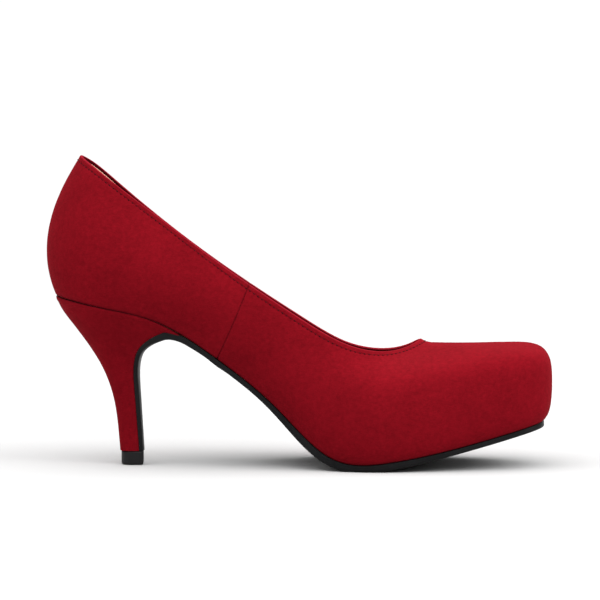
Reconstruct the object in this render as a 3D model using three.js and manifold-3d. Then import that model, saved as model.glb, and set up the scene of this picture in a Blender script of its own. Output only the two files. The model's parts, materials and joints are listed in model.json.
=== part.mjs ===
// A court shoe (pump) with a covered forefoot platform, a square toe and a slim curved heel: a left shoe.
// Millimetres, +Z up, toe towards +X, medial (inner) side towards -Y. The shoe stands on z = 0.
//
// The upper is one surface, the last. It is measured round the shoe by t: 0 at the back of the heel,
// 12 at the toe, medial side first, 24 back at the heel. It is measured up the shoe by w: 0 at the
// feather edge, where the upper meets the sole, and 1 at the topline, where the foot goes in.
import * as THREE from "three";
import { mergeVertices } from "three/addons/utils/BufferGeometryUtils.js";
import Module from "manifold-3d";

const wasm = await Module();
wasm.setup();

// ---------------------------------------------------------------- driving dimensions

// Stations from heel to toe. feather: x, medial y, lateral y, z of the sole's upper edge.
// topline: x, medial y, lateral y, medial z, lateral z. bed: height of the insole board over the
// feather edge. swell: how far the wall bows outwards. box: 0 for a wall that leans to the topline,
// 1 for the toe's upright wall with a flat top. corner: height of that wall's corner, as a share.
const STATIONS = [
  { feather: [4.5, 0, 0, 76.8], topline: [15.2, 0, 0, 139.4, 139.4], bed: 2.4, swell: 8.9, box: 0, corner: 1 },
  { feather: [11, -17, 17, 75.6], topline: [21.8, -13, 13, 135.2, 135.4], bed: 2.4, swell: 8.1, box: 0, corner: 1 },
  { feather: [28, -24.3, 24.3, 72], topline: [38, -20, 20, 122.2, 121.4], bed: 2.4, swell: 6.6, box: 0, corner: 1 },
  { feather: [52, -23.5, 24.3, 65.3], topline: [64, -23.3, 23.3, 102.4, 100.2], bed: 2.4, swell: 5.6, box: 0, corner: 1 },
  { feather: [77.3, -20.5, 23.6, 49.2], topline: [91.8, -25, 25, 83.1, 80.2], bed: 2.6, swell: 5.2, box: 0, corner: 1 },
  { feather: [103, -23, 28.5, 28.3], topline: [114.5, -26.6, 27, 68.1, 65.2], bed: 7, swell: 5.6, box: 0.08, corner: 0.9 },
  { feather: [127, -32, 36, 6.4], topline: [134.5, -26, 27, 56.8, 53.8], bed: 16, swell: 7.4, box: 0.34, corner: 0.86 },
  { feather: [152, -38, 38.2, 3.6], topline: [151, -21.6, 22, 52.9, 50.7], bed: 16.6, swell: 8.2, box: 0.62, corner: 0.83 },
  { feather: [180, -35.6, 34.2, 8.9], topline: [161.5, -14.6, 14, 54, 52.6], bed: 15.6, swell: 8, box: 0.86, corner: 0.82 },
  { feather: [204, -30.6, 28, 15.1], topline: [167, -8.8, 7.2, 56, 55.4], bed: 14.4, swell: 8, box: 0.97, corner: 0.88 },
  { feather: [217.5, -25.4, 20.6, 18.9], topline: [168.9, -5.2, 3, 56.8, 56.6], bed: 13.6, swell: 8, box: 1, corner: 0.95 },
  { feather: [223.8, -16.6, 11.4, 20.7], topline: [169.4, -3.3, 0.6, 56.9, 56.9], bed: 13.3, swell: 8, box: 1, corner: 1 },
  { feather: [225, -2.6, -2.6, 21.2], topline: [169.5, -1.6, -1.6, 57, 57], bed: 13.2, swell: 8, box: 1, corner: 1.02 },
];
const TOE = STATIONS.length - 1;
const ROUND = 2 * TOE;

// Rings of the heel from its seat down to the top piece: back x and z, breast x and z, half width.
const HEEL_RINGS = [
  [4.7, 76, 56.5, 62.4, 24.2],
  [7, 70.4, 50.3, 60.3, 21.4],
  [12, 64.2, 44.9, 56.8, 17.8],
  [16.7, 58, 41.5, 53, 14.4],
  [21.5, 51.2, 39.9, 48, 11.4],
  [26, 43.6, 39.4, 42.2, 9],
  [29.4, 35, 39.9, 34.8, 7.2],
  [31.6, 26, 40.6, 26, 6],
  [33, 16, 41.3, 16, 5.3],
  [33.9, 6.3, 42, 6.3, 4.9],
];
const HEEL_FRONT = 3.25; // t of the heel's breast corners on the feather edge
const SEAT_HALF = 24.3; // half the feather edge's width over the heel

const SKEW = 0.3; // how much lower than halfway the leaning wall bows out most
const RIM = { rise: 1.5, reach: 5.5 }; // the vamp's thick turned edge round the throat
const UPPER = 0.9; // thickness of the outer upper
const STIFFENER = [1.15, 1.9]; // depth of the toe puff's and counter's faces
const TAPE = [1.3, 1.65];
const LINING = [2.4, 3.0];
const SEAM_GAP = 0.012; // in t, about 0.3 mm
const GAP = 0.3; // between pieces that rest on each other

const BOARD = 2.0; // insole board thickness
const SHANK_BOARD = 2.2;
const FOAM = 2.0;
const SOCK = 0.8;
const SHANK = { width: 12, thick: 1.2, from: 1.8, to: 5.0 };
const SOLE_THICK = { toe: 2.4, tread: 3.4, waist: 2.3, breast: 2.4, tip: 1.8 };
const SOLE_BEVEL = 0.8;
const TREAD_AT = 6.4; // t where the sole is thickest and meets the ground
const TREAD_FLAT = 0.7; // the sole is worn flat where it would be this close to the ground
const TOP_PIECE = { height: 6, back: 34.2, front: 43.9, half: 4.9 };
const HEEL_TUBE = { outer: 2.7, inner: 1.85, length: 44 };
const TIP_PIN = { radius: 1.5, length: 20 };
const SCREW = { head: 4, shank: 2, length: 20 };
const NAIL = { head: 1.7, shank: 0.9, length: 16 };
const FIXING_SLOPE = 0.2; // radians that the screw and nails lean back
const RIVET = { radius: 1.3, length: 2 };
const WAIST_SLOPE = 0.6; // radians that the waist falls towards the toe

// ---------------------------------------------------------------- splines

const basis = (f) => [
  (1 - f) ** 3 / 6,
  (3 * f ** 3 - 6 * f ** 2 + 4) / 6,
  (-3 * f ** 3 + 3 * f ** 2 + 3 * f + 1) / 6,
  f ** 3 / 6,
];

// A smooth closed curve of one number, through the values given round the shoe.
function roundShoe(values) {
  const n = values.length;
  const at = (list, i) => list[((i % n) + n) % n];
  let control = values.slice();
  for (let pass = 0; pass < 40; pass++) {
    control = control.map(
      (c, i) => c + values[i] - (at(control, i - 1) + 4 * c + at(control, i + 1)) / 6,
    );
  }
  return (t) => {
    const i = Math.floor(t);
    return basis(t - i).reduce((sum, b, k) => sum + b * at(control, i - 1 + k), 0);
  };
}

// Both sides of one entry of the stations, as a curve round the shoe.
function stationCurve(pick) {
  const medial = STATIONS.map((s) => pick(s, 0));
  const lateral = STATIONS.slice(1, -1).map((s) => pick(s, 1));
  return roundShoe([...medial, ...lateral.reverse()]);
}

// A point on the open cubic spline that a list of vectors or numbers guides, from its first to its last.
function alongCage(cage, share) {
  const spans = cage.length - 1;
  const i = Math.min(Math.floor(share * spans), spans - 1);
  const weights = basis(share * spans - i);
  const point = new THREE.Vector3();
  weights.forEach((b, k) => {
    const j = i - 1 + k;
    if (j < 0) point.addScaledVector(cage[0], 2 * b).addScaledVector(cage[1], -b);
    else if (j > spans) point.addScaledVector(cage[spans], 2 * b).addScaledVector(cage[spans - 1], -b);
    else point.addScaledVector(cage[j], b);
  });
  return point;
}

// ---------------------------------------------------------------- the last

const featherX = stationCurve((s) => s.feather[0]);
const featherY = stationCurve((s, side) => s.feather[1 + side]);
const featherZ = stationCurve((s) => s.feather[3]);
const toplineX = stationCurve((s) => s.topline[0]);
const toplineY = stationCurve((s, side) => s.topline[1 + side]);
const toplineZ = stationCurve((s, side) => s.topline[3 + side]);
const bedRise = stationCurve((s) => s.bed);
const swell = stationCurve((s) => s.swell);
const boxShare = stationCurve((s) => s.box);
const cornerShare = stationCurve((s) => s.corner);

const feather = (t) => new THREE.Vector3(featherX(t), featherY(t), featherZ(t));
const topline = (t) => new THREE.Vector3(toplineX(t), toplineY(t), toplineZ(t));

// The level direction that points out of the shoe at the feather edge.
function outward(t) {
  const step = 0.02;
  const run = feather(t + step).sub(feather(t - step));
  return new THREE.Vector3(run.y, -run.x, 0).normalize();
}

const rimRise = (t) => RIM.rise * THREE.MathUtils.clamp(boxShare(t), 0, 1);

// The seven guides of the wall at t: a leaning wall and a boxed one, mixed by the station's share.
function wallCage(t) {
  const foot = feather(t);
  const top = topline(t).sub(new THREE.Vector3(0, 0, rimRise(t)));
  const out = outward(t);
  const height = top.z - foot.z;
  const drop = (1 - cornerShare(t)) * height;
  const leaning = [0.1, 0.27, 0.47, 0.66, 0.84].map((a) =>
    foot.clone().lerp(top, a).addScaledVector(out, 4 * a * (1 - a) * (1 + SKEW * (0.5 - a)) * swell(t)),
  );
  const upright = (reach, share) =>
    foot.clone().addScaledVector(out, reach).setZ(foot.z + share * height);
  const roof = (share, sink) =>
    foot.clone().sub(top).multiplyScalar(share).add(top).setZ(top.z - sink);
  const boxed = [
    upright(3.1, 0.1),
    upright(3.9, 0.46),
    upright(1.4, cornerShare(t)),
    roof(0.74, 0.42 * drop + 0.1),
    roof(0.36, 0.8 + 0.12 * drop),
  ];
  const share = THREE.MathUtils.clamp(boxShare(t), 0, 1);
  return [foot, ...leaning.map((p, i) => p.lerp(boxed[i], share)), top];
}

function wall(t, w) {
  const cage = wallCage(t);
  const point = alongCage(cage, w);
  const toEdge = point.distanceTo(cage[cage.length - 1]) / RIM.reach;
  point.z += rimRise(t) * Math.max(0, 1 - toEdge) ** 2;
  return point;
}

// The wall's point at a depth under its outer face.
function wallAt(t, w, depth) {
  if (depth === 0) return wall(t, w);
  const step = 0.01;
  const round = wall(t + step, w).sub(wall(t - step, w));
  const up = wall(t, Math.min(w + step, 1)).sub(wall(t, Math.max(w - step, 0)));
  return wall(t, w).addScaledVector(round.cross(up).normalize(), -depth);
}

// The number between low and high at which a rising function passes a value.
function whereRising(rises, value, low, high) {
  for (let pass = 0; pass < 24; pass++) {
    const middle = (low + high) / 2;
    if (rises(middle) < value) low = middle;
    else high = middle;
  }
  return high;
}

// The w at which the wall is some way over the insole board's underside.
const bedLevel = (t, lift = 0) =>
  whereRising((w) => wall(t, w).z, featherZ(t) + bedRise(t) + lift, 0, 0.6);

// A point at that level, moved in from the wall.
function bedEdge(t, inset, lift) {
  const edge = wall(t, bedLevel(t, lift)).addScaledVector(outward(t), -inset);
  return edge.setZ(featherZ(t) + bedRise(t) + lift);
}

const featherEdge = (t, inset, lift) =>
  feather(t).addScaledVector(outward(t), -inset).add(new THREE.Vector3(0, 0, lift));

// ---------------------------------------------------------------- solids

// Columns of the upper round the shoe, closer together where the heel and the toe turn.
const perStation = (station) => (station < 1 ? 3 : station < 8 ? 2 : 3);
const halfRound = [];
for (let station = 0; station < TOE; station++) {
  const parts = perStation(station);
  for (let part = 0; part < parts; part++) halfRound.push(station + part / parts);
}
const COLUMNS = [...halfRound, TOE, ...halfRound.slice(1).reverse().map((t) => ROUND - t)];
const ROWS = [0, 0.08, 0.18, 0.3, 0.41, 0.49, 0.56, 0.64, 0.75, 0.86, 0.95, 1];

function columnsBetween(from, to) {
  const twice = [...COLUMNS.map((t) => t - ROUND), ...COLUMNS];
  return [from, ...twice.filter((t) => t > from + 0.04 && t < to - 0.04), to];
}

// A closed body through rings of points. Each ring is a loop whose first half and reversed second half
// face each other, which is how an end is closed. A closed loft has no ends.
function loft(rings, closed = false) {
  const size = rings[0].length;
  const positions = rings.flat().flatMap((p) => [p.x, p.y, p.z]);
  const index = [];
  const quad = (a, b, c, d) => index.push(a, b, c, a, c, d);
  const joins = closed ? rings.length : rings.length - 1;
  for (let r = 0; r < joins; r++) {
    const here = r * size;
    const next = ((r + 1) % rings.length) * size;
    for (let i = 0; i < size; i++) {
      const j = (i + 1) % size;
      quad(here + i, here + j, next + j, next + i);
    }
  }
  if (!closed) {
    const last = (rings.length - 1) * size;
    for (let i = 0; i < size / 2 - 1; i++) {
      quad(size - 1 - i, size - 2 - i, i + 1, i);
      quad(last + i, last + i + 1, last + size - 2 - i, last + size - 1 - i);
    }
  }
  const geometry = new THREE.BufferGeometry();
  geometry.setAttribute("position", new THREE.Float32BufferAttribute(positions, 3));
  geometry.setIndex(index);
  return facingOut(geometry);
}

// The geometry with shared vertices, no collapsed triangles, and its faces pointing out.
function facingOut(geometry) {
  for (const name of ["normal", "uv"]) geometry.deleteAttribute(name);
  const merged = mergeVertices(geometry, 1e-3);
  const corners = merged.index.array;
  const point = (i) => new THREE.Vector3().fromBufferAttribute(merged.attributes.position, i);
  const kept = [];
  let volume = 0;
  for (let i = 0; i < corners.length; i += 3) {
    const [a, b, c] = corners.slice(i, i + 3);
    if (a === b || b === c || c === a) continue;
    kept.push([a, b, c]);
    volume += point(a).dot(point(b).cross(point(c)));
  }
  merged.setIndex(kept.map((face) => (volume < 0 ? face.reverse() : face)).flat());
  return merged;
}

// A layer of the upper between two depths, over a stretch of t and between two edges in w.
function layer({ from = 0, to = ROUND, low = () => 0, high = () => 1, depths }) {
  const whole = to - from === ROUND;
  const columns = whole ? COLUMNS : columnsBetween(from, to);
  const rings = columns.map((t) => {
    const [bottom, top] = [low(t), high(t)];
    const rows = ROWS.map((w) => Math.min(Math.max(w, bottom), top));
    const outer = rows.map((w) => wallAt(t, w, depths[0]));
    const inner = rows.map((w) => wallAt(t, w, depths[1]));
    return [...outer, ...inner.reverse()];
  });
  return loft(rings, whole);
}

// A flat-lying layer between a lower and an upper edge, from one t to another on both sides.
function slab(from, to, lowerEdge, upperEdge, across = 3) {
  const rows = columnsBetween(from, to).map((t) => {
    const span = (edge) => {
      const [medial, lateral] = [edge(t), edge(ROUND - t)];
      return Array.from({ length: across + 1 }, (_, i) => medial.clone().lerp(lateral, i / across));
    };
    return [...span(lowerEdge), ...span(upperEdge).reverse()];
  });
  return loft(rows);
}

const toManifold = (geometry) =>
  new wasm.Manifold(
    new wasm.Mesh({
      numProp: 3,
      vertProperties: new Float32Array(geometry.attributes.position.array),
      triVerts: new Uint32Array(geometry.index.array),
    }),
  );

// The geometry with the tools cut out of it.
function cut(geometry, tools) {
  let solid = toManifold(geometry);
  for (const tool of tools) solid = solid.subtract(toManifold(tool));
  const mesh = solid.getMesh();
  const left = new THREE.BufferGeometry();
  left.setAttribute("position", new THREE.BufferAttribute(mesh.vertProperties, 3));
  left.setIndex(new THREE.BufferAttribute(mesh.triVerts, 1));
  return left;
}

// A turned piece: a profile of [radius, distance] pairs from its start, set along an axis.
function turned(profile, start, axis, sides = 12) {
  const points = profile.map(([radius, distance]) => new THREE.Vector2(radius, distance));
  const geometry = new THREE.LatheGeometry(points, sides);
  const turn = new THREE.Quaternion().setFromUnitVectors(new THREE.Vector3(0, 1, 0), axis);
  geometry.applyQuaternion(turn).translate(start.x, start.y, start.z);
  return facingOut(geometry);
}

const rod = (radius, length, start, axis, sides) =>
  turned([[0, 0], [radius, 0], [radius, length], [0, length]], start, axis, sides);

const shoe = new THREE.Group();

function addPiece(name, geometry, material) {
  const mesh = new THREE.Mesh(geometry, material);
  mesh.name = name;
  shoe.add(mesh);
}

const finish = (color, roughness, metalness = 0) =>
  new THREE.MeshStandardMaterial({ color, roughness, metalness });
const suede = finish(0x9c1524, 0.95);
const liningCloth = finish(0xd9a98f, 0.6);
const fibreboard = finish(0xa98a63, 0.9);
const foam = finish(0xe8e2d4, 0.95);
const soleResin = finish(0x1c1c1c, 0.4);
const heelPlastic = finish(0xe6dfcf, 0.5);
const steel = finish(0x9a9da1, 0.35, 1);
const platformCork = finish(0xb98c5a, 0.9);
const stiffenerSheet = finish(0xdedbd2, 0.8);
const thread = finish(0x6e0c18, 0.8);

// ---------------------------------------------------------------- upper

const SEAM = 4; // the side seams, at both waists
const upperDepths = [0, UPPER];
addPiece("vamp", layer({ from: SEAM, to: ROUND - SEAM, depths: upperDepths }), suede);
addPiece("quarter_medial", layer({ from: SEAM_GAP / 2, to: SEAM - SEAM_GAP, depths: upperDepths }), suede);
addPiece(
  "quarter_lateral",
  layer({ from: ROUND - SEAM + SEAM_GAP, to: ROUND - SEAM_GAP / 2, depths: upperDepths }),
  suede,
);

// The lining comes down to the insole board.
const liningFoot = (t) => bedLevel(t) + 0.004;
const LINING_SEAM = 4.5;
const GRIP_SEAM = 1.67;
const lining = (from, to) => layer({ from, to, low: liningFoot, depths: LINING });
addPiece("vamp_lining", lining(LINING_SEAM, ROUND - LINING_SEAM), liningCloth);
addPiece("quarter_lining_medial", lining(GRIP_SEAM, LINING_SEAM - SEAM_GAP), liningCloth);
addPiece("quarter_lining_lateral", lining(ROUND - LINING_SEAM + SEAM_GAP, ROUND - GRIP_SEAM), liningCloth);
addPiece("heel_grip", lining(-GRIP_SEAM + SEAM_GAP, GRIP_SEAM - SEAM_GAP), liningCloth);

addPiece(
  "toe_puff",
  layer({ from: 9, to: ROUND - 9, low: liningFoot, high: () => 0.74, depths: STIFFENER }),
  stiffenerSheet,
);
addPiece(
  "heel_counter",
  layer({ from: -2.5, to: 2.5, low: () => 0.08, high: () => 0.74, depths: STIFFENER }),
  stiffenerSheet,
);

// The tape lies behind the topline, and the stitching runs just under it on the outside.
const belowTopline = (t, distance) => 1 - (distance * 0.02) / wall(t, 0.98).distanceTo(wall(t, 1));
addPiece(
  "topline_tape",
  layer({ low: (t) => belowTopline(t, 4), high: (t) => belowTopline(t, 1), depths: TAPE }),
  stiffenerSheet,
);
function stitchedThread(distance, radius, sides) {
  const rings = COLUMNS.map((t) => {
    const w = belowTopline(t, distance);
    const centre = wallAt(t, w, -radius - 1.6 * GAP);
    const out = wallAt(t, w, -1).sub(wallAt(t, w, 0)).normalize();
    const along = wallAt(t + 0.01, w, 0).sub(wallAt(t - 0.01, w, 0)).normalize();
    const side = along.cross(out);
    return Array.from({ length: sides }, (_, i) => {
      const turn = (2 * Math.PI * i) / sides;
      return centre
        .clone()
        .addScaledVector(out, radius * Math.cos(turn))
        .addScaledVector(side, radius * Math.sin(turn));
    });
  });
  return loft(rings, true);
}
addPiece("topline_thread", stitchedThread(1.8, 0.3, 4), thread);

// ---------------------------------------------------------------- fasteners, shank and insole

const downward = (slope) => new THREE.Vector3(-Math.sin(slope), 0, -Math.cos(slope));

// A point over the underside of the insole board.
function bedPoint(x, y, lift) {
  const t = whereRising(featherX, x, 0, TOE);
  return new THREE.Vector3(x, y, featherZ(t) + bedRise(t) + lift);
}

const driven = ({ head, shank, length }, grow = 0) => [
  [0, -grow],
  [head + grow, -grow],
  [head + grow, 1.2 + grow],
  [shank + grow, 1.2 + grow],
  [shank + grow, length - 2 * shank],
  [0, length + grow],
];
const heelFixings = [
  { name: "heel_screw", size: SCREW, x: 31, y: 0 },
  { name: "heel_nail_rear", size: NAIL, x: 19, y: 0 },
  { name: "heel_nail_medial", size: NAIL, x: 27, y: -8.5 },
  { name: "heel_nail_lateral", size: NAIL, x: 27, y: 8.5 },
  { name: "heel_nail_front_medial", size: NAIL, x: 38, y: -10 },
  { name: "heel_nail_front_lateral", size: NAIL, x: 38, y: 10 },
];
const fixingHoles = [];
for (const { name, size, x, y } of heelFixings) {
  const start = bedPoint(x, y, BOARD - 0.5);
  const axis = downward(FIXING_SLOPE);
  addPiece(name, turned(driven(size), start, axis), steel);
  const mouth = rod(size.head + GAP, 3.6, start.clone().addScaledVector(axis, -3), axis);
  fixingHoles.push(turned(driven(size, GAP), start, axis), mouth);
}

// The shank is a steel strip along the waist, let into the shank board under the insole board.
// A station of t is about 20 mm here, so a strip grown by a gap is longer by a twentieth of it in t.
function shankStrip(top, grow) {
  const half = SHANK.width / 2 + grow;
  const bottom = -SHANK.thick - GAP - grow;
  const rows = columnsBetween(SHANK.from - grow / 20, SHANK.to + grow / 20).map((t) => {
    const middle = bedPoint(featherX(t), 0, 0);
    const corner = (y, z) => new THREE.Vector3(middle.x, y, middle.z + z);
    return [corner(-half, bottom), corner(half, bottom), corner(half, top), corner(-half, top)];
  });
  return loft(rows);
}
const shankSlot = shankStrip(1, GAP);
const rivets = [
  { name: "shank_rivet_rear", x: 56 },
  { name: "shank_rivet_front", x: 92 },
].map(({ name, x }) => ({ name, start: bedPoint(x, 0, -0.1) }));
const rivetAxis = downward(WAIST_SLOPE);
const rivetHoles = rivets.map(({ start }) =>
  rod(RIVET.radius + GAP, 3 * RIVET.length, start.clone().addScaledVector(rivetAxis, -RIVET.length), rivetAxis),
);
for (const { name, start } of rivets) addPiece(name, rod(RIVET.radius, RIVET.length, start, rivetAxis), steel);

addPiece("steel_shank", cut(shankStrip(-GAP, 0), [...fixingHoles, ...rivetHoles]), steel);
const shankBoard = (grow) =>
  slab(
    0,
    5.4 + grow / 20,
    (t) => bedEdge(t, 4 - grow, -SHANK_BOARD - grow),
    (t) => bedEdge(t, 4 - grow, grow - 0.2),
  );
addPiece("shank_board", cut(shankBoard(0), [shankSlot, ...fixingHoles, ...rivetHoles]), fibreboard);
const BED_INSET = 3.8;
const bedLayer = (low, high) =>
  slab(0, TOE, (t) => bedEdge(t, BED_INSET, low), (t) => bedEdge(t, BED_INSET, high));
addPiece("insole_board", cut(bedLayer(0, BOARD), fixingHoles), fibreboard);
addPiece("sock_foam", bedLayer(BOARD + 0.15, BOARD + FOAM), foam);
addPiece("sock_lining", bedLayer(BOARD + FOAM + 0.15, BOARD + FOAM + SOCK), liningCloth);

// The platform fills the forefoot between the sole and the insole board. The shank board is let into it.
const platformInset = UPPER + 2 * GAP;
const platformBlock = slab(
  4.6,
  TOE,
  (t) => featherEdge(t, platformInset, 0.1),
  (t) => bedEdge(t, platformInset, -0.2),
);
addPiece("platform", cut(platformBlock, [shankBoard(GAP)]), platformCork);

// ---------------------------------------------------------------- heel

const seatSpan = featherX(HEEL_FRONT) - featherX(0);

// A point of the heel: t round its back from breast corner to breast corner, share down its height.
function heelPoint(t, share) {
  const back = alongCage(HEEL_RINGS.map(([x, z]) => new THREE.Vector3(x, 0, z)), share);
  const front = alongCage(HEEL_RINGS.map(([, , x, z, half]) => new THREE.Vector3(x, half, z)), share);
  const forward = (featherX(t) - featherX(0)) / seatSpan;
  const chord = THREE.MathUtils.lerp(featherZ(0), featherZ(HEEL_FRONT), forward);
  const crown = (featherZ(t) - chord) * Math.max(0, 1 - 3 * share);
  return new THREE.Vector3(
    THREE.MathUtils.lerp(back.x, front.x, forward),
    (front.y * featherY(t)) / SEAT_HALF,
    THREE.MathUtils.lerp(back.z, front.z, forward) + crown,
  );
}

function heelAt(t, share, depth) {
  const run = heelPoint(t + 0.02, share).sub(heelPoint(t - 0.02, share));
  const out = new THREE.Vector3(run.y, -run.x, 0).normalize();
  return heelPoint(t, share).addScaledVector(out, -depth);
}

const heelTurns = [-3.25, -2.6, -2, -1.5, -1, -0.66, -0.33, 0, 0.33, 0.66, 1, 1.5, 2, 2.6, 3.25];
const heelShares = [0, 0.1, 0.2, 0.3, 0.4, 0.5, 0.6, 0.7, 0.8, 0.9, 1];
const COVER = 0.7;

const coverRings = heelShares.map((share) => [
  ...heelTurns.map((t) => heelAt(t, share, 0)),
  ...heelTurns.map((t) => heelAt(t, share, COVER)).reverse(),
]);
addPiece("heel_cover", loft(coverRings), suede);

const topPieceMiddle = (TOP_PIECE.back + TOP_PIECE.front) / 2;
const tipCentre = new THREE.Vector3(topPieceMiddle - 0.6, 0, TOP_PIECE.height + GAP);
const tubeAxis = new THREE.Vector3(-0.115, 0, 1).normalize();
const alongTube = (distance) => tipCentre.clone().addScaledVector(tubeAxis, distance);
const tubeHole = rod(HEEL_TUBE.outer + GAP, HEEL_TUBE.length + 2, alongTube(-1), tubeAxis);
const blockTurns = heelTurns.filter((t) => t !== 0); // an even number, which lets a loft close its ends
const blockRings = heelShares.map((share) => blockTurns.map((t) => heelAt(t, share, COVER + GAP)));
addPiece("heel_block", cut(loft(blockRings), [tubeHole, ...fixingHoles]), heelPlastic);

const { outer: tubeOuter, inner: tubeInner, length: tubeLength } = HEEL_TUBE;
const tubeProfile = [[tubeInner, 0], [tubeOuter, 0], [tubeOuter, tubeLength], [tubeInner, tubeLength], [tubeInner, 0]];
addPiece("heel_tube", turned(tubeProfile, tipCentre, tubeAxis), steel);

const PIN_DEPTH = 3.6; // how far the pin sits in the top piece
addPiece("top_piece_pin", rod(TIP_PIN.radius, TIP_PIN.length, alongTube(-PIN_DEPTH), tubeAxis), steel);

function topPieceRing(z, shrink) {
  const half = (TOP_PIECE.front - TOP_PIECE.back) / 2 - shrink;
  return blockTurns.map((t) => {
    const forward = (featherX(t) - featherX(0)) / seatSpan;
    const side = ((TOP_PIECE.half - shrink) * featherY(t)) / SEAT_HALF;
    return new THREE.Vector3(topPieceMiddle + half * (2 * forward - 1), side, z);
  });
}
const topPiece = loft([topPieceRing(0, 0.6), topPieceRing(0.5, 0.1), topPieceRing(TOP_PIECE.height, 0)]);
const pinHole = rod(TIP_PIN.radius + GAP, TIP_PIN.length, alongTube(-PIN_DEPTH - GAP), tubeAxis);
addPiece("top_piece", cut(topPiece, [pinHole]), soleResin);

// ---------------------------------------------------------------- outsole

// The outsole runs from the toe to the waist, turns down the heel's breast and ends at the top piece.
// Each section: its medial and lateral edge where it meets the shoe, and its thickness there.
const soleSections = [];
function soleThick(t) {
  const { toe, tread, waist } = SOLE_THICK;
  if (t < TREAD_AT) return THREE.MathUtils.lerp(waist, tread, THREE.MathUtils.smoothstep(t, 4.6, TREAD_AT - 0.4));
  return THREE.MathUtils.lerp(tread, toe, THREE.MathUtils.smoothstep(t, TREAD_AT, 8.6));
}
for (let t = TOE; t > HEEL_FRONT + 0.1; t -= 0.25) {
  soleSections.push({ medial: feather(t), lateral: feather(ROUND - t), thick: soleThick(t) });
}
for (const share of [0.07, 0.14, 0.21, 0.28, 0.35, 0.43, 0.52, 0.64, 0.76, 0.88, 1]) {
  const { breast, tip } = SOLE_THICK;
  soleSections.push({
    medial: heelPoint(HEEL_FRONT, share),
    lateral: heelPoint(-HEEL_FRONT, share),
    thick: THREE.MathUtils.lerp(breast, tip, share),
  });
}
const soleRings = soleSections.map(({ medial, lateral, thick }, i) => {
  const before = soleSections[Math.max(i - 1, 0)].medial;
  const after = soleSections[Math.min(i + 1, soleSections.length - 1)].medial;
  const run = new THREE.Vector3(after.x - before.x, 0, after.z - before.z).normalize();
  const down = new THREE.Vector3(-run.z, 0, run.x);
  if (i === 0) down.set(0, 0, -1);
  const acrossSole = (depth, inset) => {
    const width = Math.max(medial.distanceTo(lateral), 1);
    const near = Math.min(inset / width, 1 / 4);
    return [near, 1 / 3, 2 / 3, 1 - near].map((share) => {
      const point = medial.clone().lerp(lateral, share).addScaledVector(down, depth);
      return point.z < TREAD_FLAT ? point.setZ(0) : point;
    });
  };
  return [...acrossSole(GAP, 0), ...acrossSole(thick, SOLE_BEVEL).reverse()];
});
addPiece("outsole", loft(soleRings), soleResin);

// The frame's origin is under the middle of the shoe, on the surface that it stands on.
const box = new THREE.Box3().setFromObject(shoe, true);
const middle = box.getCenter(new THREE.Vector3());
for (const mesh of shoe.children) mesh.geometry.translate(-middle.x, -middle.y, -box.min.z);

export default shoe;
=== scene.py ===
"""The looks of a women's court shoe (pump) in faux suede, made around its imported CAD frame.

Sizes are in millimetres up to the point where a mesh is made, and in metres in the studio. The upper
is one surface, the last: t goes round the shoe (0 at the back of the heel, 12 at the toe, medial side
first, 24 back at the heel) and w goes up it (0 at the feather edge over the sole, 1 at the topline).
"""
import json
import math
import bmesh
import bpy
import numpy as np
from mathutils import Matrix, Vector


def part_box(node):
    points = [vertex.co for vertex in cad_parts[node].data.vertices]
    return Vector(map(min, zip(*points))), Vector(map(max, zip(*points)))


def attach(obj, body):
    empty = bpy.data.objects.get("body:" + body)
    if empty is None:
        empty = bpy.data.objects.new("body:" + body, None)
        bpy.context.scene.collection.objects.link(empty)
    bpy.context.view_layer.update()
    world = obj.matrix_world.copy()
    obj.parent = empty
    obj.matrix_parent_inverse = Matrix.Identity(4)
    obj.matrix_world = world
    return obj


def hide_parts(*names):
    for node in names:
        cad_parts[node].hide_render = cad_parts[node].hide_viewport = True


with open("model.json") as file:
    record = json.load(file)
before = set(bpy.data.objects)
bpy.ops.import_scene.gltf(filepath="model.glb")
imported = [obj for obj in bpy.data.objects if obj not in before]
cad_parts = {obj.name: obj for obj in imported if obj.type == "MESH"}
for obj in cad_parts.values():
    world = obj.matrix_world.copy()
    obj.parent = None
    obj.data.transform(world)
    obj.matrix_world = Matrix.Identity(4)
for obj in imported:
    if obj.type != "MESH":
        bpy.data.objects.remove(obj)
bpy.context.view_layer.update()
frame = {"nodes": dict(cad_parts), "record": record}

# ------------------------------------------------------------ the last's driving sizes

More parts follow.
